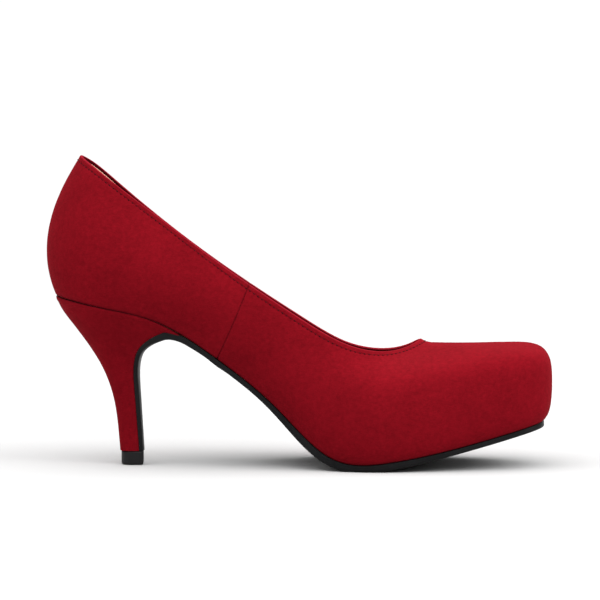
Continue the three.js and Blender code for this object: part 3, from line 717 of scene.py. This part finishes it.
def add_lining_panel(name, start, end, node):
    """A panel of the lining, from seam to seam and from its raw edge down to the insole board."""
    t = columns(start + 0.002, end - 0.002)
    below = below_topline(t)
    floor_level = bed_level(t, BOARD)
    length = np.array([np.interp(low, LEVELS, row) for low, row in zip(floor_level, below)])
    drop = rows_down(length, LINING_ROWS, [1.0, 0.5, 0], 34)[:, ::-1]
    w = level_at(below, drop)
    to_seam = np.minimum(t - start, end - t)[:, None] * pace(wall, t[:, None], w)
    seam = LINING_SEAM_DIP * fade(to_seam, LINING_SEAM_DIP)
    raw_edge = 0.3 * fade(drop - LINING_EDGE, 0.16)
    channel = 0.12 * bump(drop - INNER_STITCH_LINE, 0.4)
    deeper = smooth(drop, 3.5, 7)
    outer = 2 * FOLD + LAYER_GAP + (LINING[0] - 2 * FOLD) * deeper
    inner = 2 * FOLD + LINING_TOP + (LINING[1] - 2 * FOLD - LINING_TOP) * deeper
    inner = inner - seam - raw_edge - channel
    # Painted shade in the dips of the seams.
    crease = np.clip(seam / LINING_SEAM_DIP, 0, 1) ** 1.5
    marks = {"crease": (crease, crease)}
    add_layer(name, t, w, outer, inner, lining_skin, "lining_synthetic", [node], marks)


add_lining_panel("lining_vamp", LINING_SEAM, ROUND - LINING_SEAM, "vamp_lining")
add_lining_panel("lining_quarter_medial", GRIP_SEAM, LINING_SEAM, "quarter_lining_medial")
add_lining_panel("lining_quarter_lateral", ROUND - LINING_SEAM, ROUND - GRIP_SEAM, "quarter_lining_lateral")
add_lining_panel("lining_heel_grip", -GRIP_SEAM, GRIP_SEAM, "heel_grip")

# ------------------------------------------------------------ stitching


def sew(line, lift, pitch, length, thick):
    """Single stitches along a line. Each is a short slanting thread whose ends dive into the cloth."""
    run = np.concatenate([[0], np.cumsum(np.linalg.norm(np.diff(line, axis=0), axis=1))])
    count = round(run[-1] / pitch)
    steps = np.linspace(-1, 1, 7)
    at = (np.arange(count)[:, None] + 0.5) * run[-1] / count + steps * length / 2
    centre, up = (np.stack([np.interp(at, run, part[:, k]) for k in range(3)], -1) for part in (line, lift))
    up = unit(up)
    along = unit(np.gradient(centre, axis=1))
    side = unit(np.cross(along, up))
    rise = thick * (0.25 - 0.95 * steps**4)
    centre = centre + up * rise[:, None] + side * (0.25 * thick * steps)[:, None]
    turn = np.linspace(0, 2 * math.pi, 8, endpoint=False)
    width = 0.5 * thick * (1 - 0.45 * steps**4)[:, None, None]
    # The thread is pressed a little flat.
    level = side[:, :, None] * np.cos(turn)[:, None] * width * 1.2
    upright = up[:, :, None] * np.sin(turn)[:, None] * width
    rings = centre[:, :, None] + (level + upright)
    one = loft_faces(len(steps), len(turn))
    starts = np.arange(count) * len(steps) * len(turn)
    faces = (one[None] + starts[:, None, None]).reshape(-1, 4)
    return rings.reshape(-1, 3), faces


def join(parts):
    """Several sets of points and faces as one."""
    starts = np.cumsum([0] + [len(points) for points, _ in parts[:-1]])
    all_points = np.concatenate([points for points, _ in parts])
    all_faces = np.concatenate([faces + start for (_, faces), start in zip(parts, starts)])
    return all_points, all_faces


def line_round(drop, depth, way):
    """A line round the shoe under the topline at a depth. way is the side it is seen from: -1 for
    outside and 1 for inside."""
    coarse = np.arange(0, ROUND + 0.01, 0.1)
    level = level_at(below_topline(coarse), np.full((len(coarse), 1), drop))[:, 0]
    t = np.linspace(0, ROUND, 2401)
    w = np.interp(t, coarse, level)
    return wall_at(t, w, depth), way * wall_inward(t, w)


def line_down(t_value, first, last, depth, way):
    """A line down the wall at one t, between two drops."""
    drop = np.linspace(first, last, 200)
    w = level_at(below_topline(np.array([float(t_value)])), drop[None])[0]
    t = np.full_like(drop, t_value)
    return wall_at(t, w, depth), way * wall_inward(t, w)


outside = sew(*line_round(STITCH_LINE, depth=0.12, way=-1), pitch=STITCH_PITCH, length=1.05, thick=0.36)
inside = sew(
    *line_round(INNER_STITCH_LINE, depth=2 * FOLD + 0.52, way=1), pitch=STITCH_PITCH, length=1.05, thick=0.32,
)
add_piece("topline_stitches", *join([outside, inside]), red_thread, "stitching_thread", ["topline_thread"])

LINING_ROW = 0.055  # in t, about 1.3 mm beside the seam
lining_rows = [
    sew(*line_down(t, 6.5, last, depth=LINING[1] - 0.02, way=1), pitch=2.2, length=1.5, thick=0.34)
    for medial_seam, last in ((GRIP_SEAM, 44), (LINING_SEAM, 30))
    for seam in (medial_seam, ROUND - medial_seam)
    for t in (seam - LINING_ROW, seam + LINING_ROW)
]
add_piece("lining_stitches", *join(lining_rows), gold_thread, "stitching_thread")

# ------------------------------------------------------------ sock

SOCK_ROUND = 1.1  # radius of the sock's edge
SOCK_GAP = 0.15  # space under the foam
SOCK_BORDER = 0.3  # depth of the pressed line round the sock
SOCK_BORDER_IN = 4  # its distance from the edge


def bed_edge(t, inset, lift):
    """The line along the wall at a height over the insole board's underside, some way in from it."""
    edge = wall(t, bed_level(t, lift)) - outward(t) * inset
    edge[..., 2] = feather(t)[..., 2] + form(t)[..., 0] + lift
    return edge


def add_sock():
    """The visible inner sole: lining over soft foam, full at its heel and ball, with a pressed border."""
    t = TOE * (1 - np.cos(np.linspace(0.04, math.pi - 0.04, 220))) / 2
    lift = BOARD + FOAM + SOCK
    medial, lateral = bed_edge(t, SOCK_INSET, lift), bed_edge(ROUND - t, SOCK_INSET, lift)
    across = (1 - np.cos(np.linspace(0, math.pi, 51))) / 2
    top = medial[:, None] + (lateral - medial)[:, None] * across[:, None]
    width = np.linalg.norm(lateral - medial, axis=1)[:, None]
    to_edge = np.minimum(across, 1 - across) * width
    # It turns up at the sides of the foot's heel, and is fullest under the heel and the ball.
    cup = 1.1 * np.abs(2 * across - 1) ** 3 * (1 - smooth(t, 2.5, 5))[:, None]
    full = 0.9 * smooth(to_edge, 4, 14) * (bump(t - 1.6, 1.5) + bump(t - 6.9, 1.7))[:, None]
    border = SOCK_BORDER * bump(to_edge - SOCK_BORDER_IN, 0.55) * smooth(width, 10, 16)
    bottom = top.copy()
    top[..., 2] += cup + full - rounded(to_edge, SOCK_ROUND) - border
    bottom[..., 2] -= FOAM + SOCK - SOCK_GAP
    rings = there_and_back(top, bottom)
    # Painted shade along the pressed line round the sock.
    marks = {"crease": there_and_back(border / (2 * SOCK_BORDER), 0 * border)}
    sock = add_piece(
        "sock_pad", rings, loft_faces(*rings.shape[:2]), lining_skin, "lining_synthetic",
        ["sock_lining", "sock_foam"], marks=marks,
    )


add_sock()

# ------------------------------------------------------------ heel

CORNER_REACH = 0.26  # in t, how much further forward the cloth goes at its two top corners
CORNER_REACH_END = 0.045  # the share down the heel where that has run out


def add_heel_cover():
    """The heel's cloth, stretched round it, with a rounded lip under the upper."""
    ends = np.array([0, 0.01, 0.03, 0.06])
    middle = np.linspace(0.1 - HEEL_FRONT, HEEL_FRONT - 0.1, 127)
    t = np.concatenate([ends - HEEL_FRONT, middle, HEEL_FRONT - ends[::-1]])
    share = np.concatenate([[0, 0.001, 0.0025, 0.0045, 0.007, 0.011, 0.016], np.linspace(0.022, 1, 110)])
    t_grid, share_grid = np.meshgrid(t, share)
    # At the seat its corners reach on forward, over the end of the sole's waist.
    reach = CORNER_REACH / HEEL_FRONT * np.maximum(0, 1 - share_grid / CORNER_REACH_END)
    t_grid = t_grid * (1 + reach)
    down = share_grid * COVER_LENGTH
    to_end = np.abs(np.abs(t_grid).max(axis=1, keepdims=True) - np.abs(t_grid))
    corner = 0.3 * fade(to_end * pace(heel_point, t_grid, share_grid), 0.3)
    # It stands out most just under its lip and at the back of its tip.
    full = 0.15 + 0.3 * bump(down - 1.6, 1.4) + 0.4 * smooth(share_grid, 0.7, 1) * bump(t_grid, 1.6)
    outer = heel_at(t_grid, share_grid, rounded(down, LIP) + corner - full)
    inner = heel_at(t_grid, share_grid, COVER + COVER_BEDDED)
    raised = SEAT_GAP * fade(down, 1.2)
    outer[..., 2] += raised
    inner[..., 2] += raised
    rings = there_and_back(outer, inner)
    # Painted shade at the top of the cloth, in the gap under the upper, and at its front corners.
    dark = np.clip(fade(down, 0.5) + corner, 0, 1) ** 1.5
    marks = {
        "crease": there_and_back(dark, dark),
        "edge_drop": np.full(rings.shape[:2], 50.0),  # far from the turned edge's painted highlight
    }
    add_piece(
        "heel_cloth", rings, loft_faces(*rings.shape[:2]), suede, "upper_faux_suede", ["heel_cover"],
        marks=marks,
    )


def add_top_piece():
    """The hard black block under the heel: a rounded block with a shallow recess underneath."""
    back = TOP_PIECE["back"] - TOP_PIECE_REACH
    middle = (back + TOP_PIECE["front"]) / 2
    half = (TOP_PIECE["front"] - back) / 2
    t = np.linspace(-HEEL_FRONT, HEEL_FRONT, 160)
    foot, rear, breast = feather(t), feather(np.zeros(1))[0, 0], feather(np.array([HEEL_FRONT]))[0, 0]
    forward = 2 * (foot[:, 0] - rear) / (breast - rear) - 1
    outline = np.stack([half * forward, TOP_PIECE["half"] * foot[:, 1] / SEAT_HALF], axis=-1)
    outline = np.concatenate([outline, [outline[-1] * (1, s) for s in np.linspace(0.95, -0.95, 39)]])
    sides = np.linalg.norm(np.diff(outline, axis=0, append=outline[:1]), axis=1)
    run = np.concatenate([[0], np.cumsum(sides)])
    even = np.linspace(0, run[-1], 120, endpoint=False)
    ring = np.stack([np.interp(even, run, np.append(outline[:, k], outline[0, k])) for k in range(2)], -1)
    for _ in range(3):
        ring = (np.roll(ring, 1, 0) + 2 * ring + np.roll(ring, -1, 0)) / 4
    # Levels are the outline's scale and z: the recess, a rounded lower edge, the side, the upper edge
    # and the flat top.
    lower_round, upper_round, height = 0.8, 0.4, TOP_PIECE["height"]
    turn = np.linspace(0, math.pi / 2, 6)
    levels = [(0.02, 0.25), (0.3, 0.25), (0.5, 0.25), (0.56, 0.2), (0.6, 0.06), (0.64, 0), (0.8, 0)]
    levels += [(1 - lower_round / half * (1 - math.sin(a)), lower_round * (1 - math.cos(a))) for a in turn]
    levels += [(1, z) for z in np.linspace(1.4, height - upper_round, 8)]
    levels += [
        (1 - upper_round / half * (1 - math.cos(a)), height - upper_round + upper_round * math.sin(a))
        for a in turn[1:]
    ]
    levels += [(scale, height) for scale in (0.7, 0.4, 0.02)]
    rings = np.array([[(middle + x * scale, y * scale, z) for x, y in ring] for scale, z in levels])
    add_piece(
        "heel_top_piece", rings, loft_faces(*rings.shape[:2]), top_piece_plastic, "top_piece_resin",
        ["top_piece"], sharp=40,
    )


add_heel_cover()
add_top_piece()

# ------------------------------------------------------------ outsole

SOLE_THICK = {"toe": 2.4, "tread": 3.4, "waist": 2.35, "breast": 3.45, "tip": 2.35}
TREAD_AT = 6.4  # t where the sole is thickest and meets the ground
WORN = 1.4  # the sole flattens where it would be this close to the ground
TOE_LEVEL = 22  # from the toe on, the direction of its thickness turns from upright over this length
SOLE_GAP = 0.06  # space between it and the upper
FLAP = 64  # length of its part on the heel's breast
FLAP_FULL = 40  # length of the end of that part that is rounded right across
EDGE_RADIUS = 1.1  # of its lower edge
EDGE_SHARE = 0.5  # the share of its thickness that is upright at that edge
GROOVE = {"in": 5.5, "deep": 0.35, "wide": 0.7}  # the groove inside the tread's edge
RIB = {"pitch": 3.6, "deep": 0.3}


def sole_sections():
    """Medial edge, lateral edge and thickness of the sole, from toe to waist and down the breast."""
    t = np.arange(TOE, HEEL_FRONT + 0.2, -0.04)
    waist, tread, toe = SOLE_THICK["waist"], SOLE_THICK["tread"], SOLE_THICK["toe"]
    rear = waist + (tread - waist) * smooth(t, 4.6, TREAD_AT - 0.4)
    fore = tread + (toe - tread) * smooth(t, TREAD_AT, 8.6)
    # It is a little thicker under the side seam, and where it turns down the breast.
    kink = 0.3 * bump(t - 4.05, 0.12) + 0.6 * (1 - smooth(t, 3.3, 3.9))
    thick = np.where(t < TREAD_AT, rear, fore) + kink
    under = np.concatenate([feather(t), feather(ROUND - t), thick[:, None]], axis=1)
    share = np.linspace(0.07, 1, 94)
    breast = SOLE_THICK["breast"] + (SOLE_THICK["tip"] - SOLE_THICK["breast"]) * share
    sides = [heel_point(np.full_like(share, corner), share) for corner in (HEEL_FRONT, -HEEL_FRONT)]
    return np.concatenate([under, np.concatenate([*sides, breast[:, None]], axis=1)])


def resample(rows, spacing):
    """The same rows at an even spacing along their first point, on smooth cubics."""
    run = np.concatenate([[0], np.cumsum(np.linalg.norm(np.diff(rows[:, :3], axis=0), axis=1))])
    slope = np.gradient(rows, run, axis=0)
    wanted = np.linspace(0, run[-1], round(run[-1] / spacing))
    i = np.clip(np.searchsorted(run, wanted, side="right") - 1, 0, len(run) - 2)
    gap = run[i + 1] - run[i]
    f = ((wanted - run[i]) / gap)[:, None]
    gap = gap[:, None]
    start, end = rows[i], rows[i + 1]
    return wanted, (
        start * (1 + 2 * f) * (1 - f) ** 2 + slope[i] * gap * f * (1 - f) ** 2
        + end * f**2 * (3 - 2 * f) + slope[i + 1] * gap * f**2 * (f - 1)
    )


def add_outsole():
    """The sole: a satin edge rounded underneath, a ribbed tread, a plain waist, and a flap that goes
    down the heel's breast and is full in its middle."""
    run, rows = resample(sole_sections(), 0.55)
    medial, lateral, thick = rows[:, :3], rows[:, 3:6], rows[:, 6:]
    # The direction of the thickness is square to the way from 5 rows before to 5 rows after.
    spread = 5
    extended = np.concatenate([medial[:1].repeat(spread, 0), medial, medial[-1:].repeat(spread, 0)])
    way = unit((extended[2 * spread:] - extended[:-2 * spread]) * (1, 0, 1))
    down = np.stack([-way[:, 2], 0 * way[:, 0], way[:, 0]], axis=1)
    near_toe = np.searchsorted(run, TOE_LEVEL)
    turned = smooth(run[:near_toe], 0, TOE_LEVEL)[:, None]
    down[:near_toe] = unit((1 - turned) * np.array([0, 0, -1.0]) + turned * down[near_toe])
    across = (1 - np.cos(np.linspace(0, math.pi, 97))) / 2
    base = medial[:, None] + (lateral - medial)[:, None] * across[:, None]
    width = np.maximum(np.linalg.norm(lateral - medial, axis=1), 0.01)[:, None]
    to_edge = np.minimum(across, 1 - across) * width
    under_foot = (run < run[-1] - FLAP)[:, None]
    flap = smooth(run, run[-1] - FLAP, run[-1] - FLAP_FULL)[:, None]
    rounding = EDGE_RADIUS * (1 - flap) + flap * 0.5 * width
    lean = np.clip(1 - to_edge / rounding, 0, 1)
    edge = EDGE_SHARE * thick
    depth = edge + (thick - edge) * np.sqrt(1 - lean**2)
    # Tread relief: a groove inside the edge and cross ribs inside that.
    x = medial[:, :1]
    groove = GROOVE["deep"] * bump(to_edge - GROOVE["in"], GROOVE["wide"])
    groove = groove * smooth(x, 80, 90) * under_foot * smooth(width, 14, 18)
    ribs = RIB["deep"] * (0.5 + 0.5 * np.cos(2 * math.pi * x / RIB["pitch"]))
    ribs = ribs * smooth(x, 112, 120) * (1 - smooth(x, 206, 211)) * under_foot * smooth(to_edge, 7.6, 8.2)
    lower = base + down[:, None] * (depth - groove - ribs)[..., None]
    plain = base + down[:, None] * depth[..., None]
    height = np.clip(plain[..., 2] / WORN, 0, 1)
    worn = np.where(plain[..., 2] < WORN, WORN * height**2 * (2 - height), plain[..., 2])
    lower[..., 2] += worn - plain[..., 2]
    upper = base + down[:, None] * SOLE_GAP
    rings = there_and_back(upper, lower)
    add_piece(
        "sole_unit", rings, loft_faces(*rings.shape[:2]), sole_rubber, "outsole_resin", ["outsole"], sharp=50,
    )


add_outsole()

# ------------------------------------------------------------ hidden CAD nodes that stay

slots = {part["node"]: part["material_slot"] for part in frame["record"]["subparts"]}
for name, piece in frame["nodes"].items():
    finish = HIDDEN_FINISHES.get(slots[name])
    if finish is not None:
        piece.data.materials.clear()
        piece.data.materials.append(finish)

# ------------------------------------------------------------ studio

FLOOR_RADIUS = 0.7
FLOOR_HEIGHT = -0.0002  # just clear of the tread and the top piece
FLOOR_CORNERS = 96
CAMERA_TARGET = Vector((0.00035, 0, 0.0744))
CAMERA_ELEVATION = math.radians(4.6)
CAMERA_DISTANCE = 3.0

floor_mesh = bpy.data.meshes.new("studio_floor")
rim = [
    (FLOOR_RADIUS * math.cos(a), FLOOR_RADIUS * math.sin(a), FLOOR_HEIGHT)
    for a in np.linspace(0, 2 * math.pi, FLOOR_CORNERS, endpoint=False)
]
floor_mesh.from_pydata(rim, [], [list(range(FLOOR_CORNERS))])
floor_mesh.materials.append(make_studio_floor())
floor = bpy.data.objects.new("studio_floor", floor_mesh)
bpy.context.scene.collection.objects.link(floor)


def add_light(name, place, target, size, power):
    data = bpy.data.lights.new(name, "AREA")
    data.shape = "SQUARE"
    data.size = size
    data.energy = power
    light = bpy.data.objects.new(name, data)
    light.location = place
    light.rotation_euler = (Vector(target) - Vector(place)).to_track_quat("-Z", "Y").to_euler()
    bpy.context.scene.collection.objects.link(light)


add_light("toe_softbox", (2.2, -0.9, 1.4), (0, 0, 0.06), 1.4, 27)
add_light("back_softbox", (-2.2, -0.5, 1.0), (0, 0, 0.08), 1.4, 6)
# A light this wide stands for a whole ceiling of softboxes.
overhead = bpy.data.lights.new("overhead_softlight", "SUN")
overhead.energy = 4.9
overhead.angle = math.radians(112)
overhead_light = bpy.data.objects.new("overhead_softlight", overhead)
overhead_light.rotation_euler = Vector((0.1, -0.14, 1)).to_track_quat("Z", "Y").to_euler()
bpy.context.scene.collection.objects.link(overhead_light)

world = bpy.data.worlds.new("studio")
world.use_nodes = True
sky = world.node_tree
sky.nodes.clear()
# White below the horizon, where the sweep is. Above it, dark studio walls that brighten overhead.
ray = add(sky, "ShaderNodeTexCoord")
parts = add(sky, "ShaderNodeSeparateXYZ", {"Vector": (ray, "Generated")})
walls = add(sky, "ShaderNodeMapRange", {"Value": (parts, "Z"), "To Min": 0.04, "To Max": 0.8})
above = add(sky, "ShaderNodeMath", {0: (parts, "Z"), 1: 0.0}, operation="GREATER_THAN")
strength = add(sky, "ShaderNodeMix", {0: (above, 0), 2: 1.03, 3: (walls, 0)}, data_type="FLOAT")
glow = add(sky, "ShaderNodeBackground", {"Color": (1, 1, 1, 1), "Strength": (strength, 0)})
add(sky, "ShaderNodeOutputWorld", {"Surface": (glow, "Background")})
bpy.context.scene.world = world

camera_data = bpy.data.cameras.new("camera")
camera_data.lens = 398
camera_data.sensor_width = 36
camera_data.clip_end = 50
camera = bpy.data.objects.new("camera", camera_data)
to_camera = Vector((0, -math.cos(CAMERA_ELEVATION), math.sin(CAMERA_ELEVATION)))
camera.location = CAMERA_TARGET + CAMERA_DISTANCE * to_camera
camera.rotation_euler = (-to_camera).to_track_quat("-Z", "Y").to_euler()
bpy.context.scene.collection.objects.link(camera)
bpy.context.scene.camera = camera
bpy.context.scene.view_settings.view_transform = "Standard"
